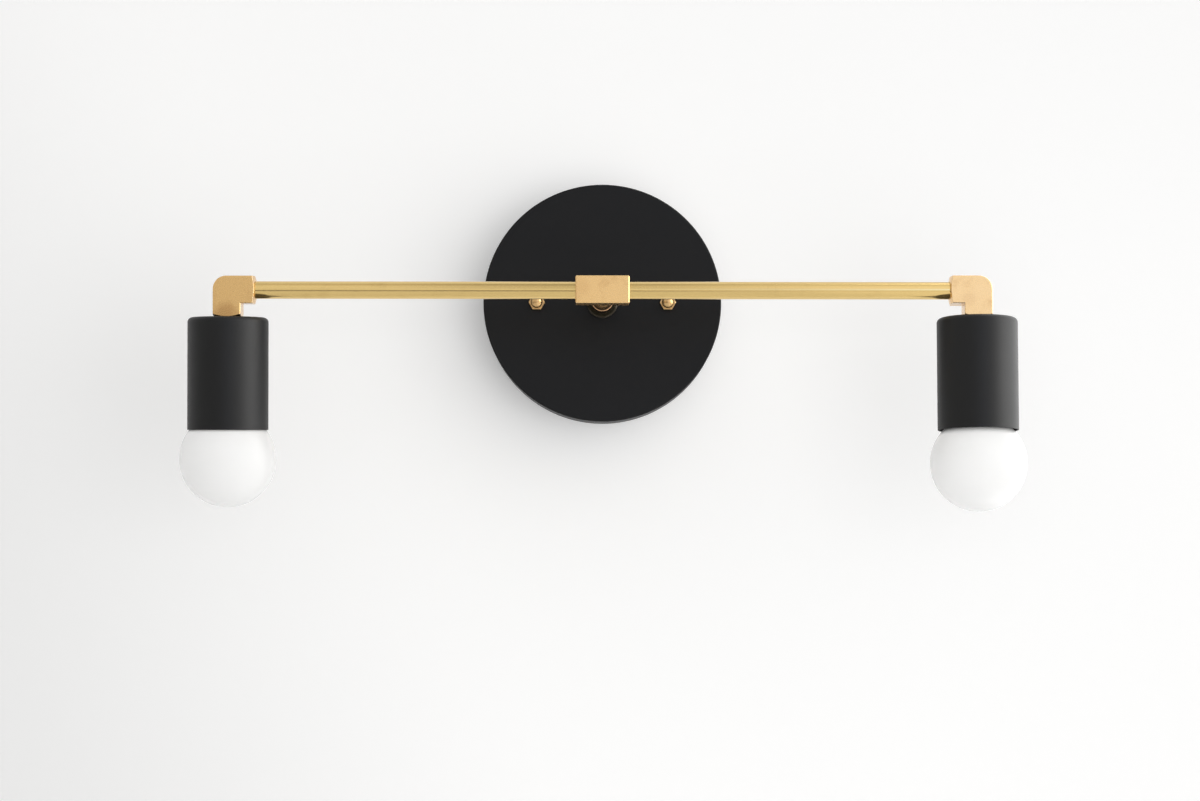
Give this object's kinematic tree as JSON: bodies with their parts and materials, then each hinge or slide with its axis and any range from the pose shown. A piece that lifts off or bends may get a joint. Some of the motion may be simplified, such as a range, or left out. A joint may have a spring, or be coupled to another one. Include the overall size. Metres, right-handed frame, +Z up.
{
  "type": "vanity light",
  "caption": "Wall sconce with a round black canopy, a brass bar on a short stem, and black socket cups that swivel at its ends and hold white globe bulbs.",
  "frame": {"origin": "on the wall plane, on the canopy's axis, midway between the box screws", "axes": "+X to the right along the bar as seen from the room, +Y into the wall, +Z up"},
  "size_m": [0.43, 0.1231, 0.1758],
  "materials": {
    "black_paint": "satin black powder coat",
    "satin_brass": "lacquered satin brass",
    "dark_brass": "aged dark brass",
    "bright_brass": "polished brass",
    "plated_steel": "zinc plated",
    "ground_green": "green dye over zinc plate",
    "bare_copper": "bare copper",
    "tinned_copper": "tinned copper",
    "wire_black": "black insulation",
    "wire_white": "white insulation",
    "connector_orange": "moulded plastic",
    "porcelain": "white glaze",
    "shell_brass": "rolled thin brass",
    "base_metal": "rolled aluminium",
    "solder": "solder button",
    "insulator_black": "dark glassy insulator",
    "collar_white": "white moulded plastic",
    "opal_glass": "white opal glass, satin outside",
    "light_board": "white board with light chips"
  },
  "bodies": {
    "wall_plate": {"canopy": "black_paint", "crossbar": "plated_steel", "canopy_studs": "plated_steel", "stud_jam_nuts": "plated_steel", "canopy_cap_nuts": "bright_brass", "ground_screw": "ground_green", "ground_ring": "tinned_copper", "ground_wire": "bare_copper", "hot_connector": "connector_orange", "neutral_connector": "connector_orange", "hot_leads": "wire_black", "neutral_leads": "wire_white"},
    "bar": {"stem_tube": "satin_brass", "check_ring": "dark_brass", "stem_neck": "dark_brass", "stem_lock_washer": "plated_steel", "stem_locknut": "plated_steel", "tee_block": "satin_brass", "left_arm_tube": "satin_brass", "right_arm_tube": "satin_brass", "left_arm_wires": "wire_black", "right_arm_wires": "wire_black"},
    "left_lamp": {"left_elbow": "satin_brass", "left_elbow_set_screw": "plated_steel", "left_cup_nipple": "plated_steel", "left_cup": "black_paint", "left_holder_strap": "plated_steel", "left_cup_locknut": "plated_steel", "left_lampholder": "porcelain", "left_strap_screws": "plated_steel", "left_terminal_screws": "shell_brass", "left_screw_shell": "shell_brass", "left_centre_contact": "shell_brass", "left_lamp_wires": "wire_black"},
    "left_bulb_travel": {"left_bulb_tip": "solder"},
    "left_bulb": {"left_bulb_insulator": "insulator_black", "left_bulb_base": "base_metal", "left_bulb_collar": "collar_white", "left_bulb_globe": "opal_glass", "left_light_board": "light_board"},
    "right_lamp": {"right_elbow": "satin_brass", "right_elbow_set_screw": "plated_steel", "right_cup_nipple": "plated_steel", "right_cup": "black_paint", "right_holder_strap": "plated_steel", "right_cup_locknut": "plated_steel", "right_lampholder": "porcelain", "right_strap_screws": "plated_steel", "right_terminal_screws": "shell_brass", "right_screw_shell": "shell_brass", "right_centre_contact": "shell_brass", "right_lamp_wires": "wire_black"},
    "right_bulb_travel": {"right_bulb_tip": "solder"},
    "right_bulb": {"right_bulb_insulator": "insulator_black", "right_bulb_base": "base_metal", "right_bulb_collar": "collar_white", "right_bulb_globe": "opal_glass", "right_light_board": "light_board"}
  },
  "joints": [
    {"name": "bar_level", "type": "hinge", "parent": "wall_plate", "child": "bar", "pos_m": [0, -0.0955, 0], "axis": [0, 1, 0], "range_deg": [-15, 15]},
    {"name": "left_lamp_tilt", "type": "hinge", "parent": "bar", "child": "left_lamp", "pos_m": [-0.1905, -0.0955, 0], "axis": [-1, 0, 0], "range_deg": [-42.5, 182.5]},
    {"name": "left_bulb_slide", "type": "slide", "parent": "left_lamp", "child": "left_bulb_travel", "axis": [0, 0.0436, -0.999], "range_m": [-0.00001, 0.01271]},
    {"name": "left_bulb_turn", "type": "hinge", "parent": "left_bulb_travel", "child": "left_bulb", "pos_m": [-0.1905, -0.0955, 0], "axis": [0, 0.0436, -0.999], "range_deg": [0, 1260]},
    {"name": "right_lamp_tilt", "type": "hinge", "parent": "bar", "child": "right_lamp", "pos_m": [0.1905, -0.0955, 0], "axis": [-1, 0, 0], "range_deg": [-47, 178]},
    {"name": "right_bulb_slide", "type": "slide", "parent": "right_lamp", "child": "right_bulb_travel", "axis": [0, -0.0349, -0.9994], "range_m": [-0.00191, 0.01081]},
    {"name": "right_bulb_turn", "type": "hinge", "parent": "right_bulb_travel", "child": "right_bulb", "pos_m": [0.1905, -0.0955, 0], "axis": [0, -0.0349, -0.9994], "range_deg": [-188.48, 1071.52]}
  ],
  "couplings": [
    {"joint": "left_bulb_slide", "follows": "left_bulb_turn", "m_per_rad": 0.00057757},
    {"joint": "right_bulb_slide", "follows": "right_bulb_turn", "m_per_rad": 0.00057757}
  ]
}
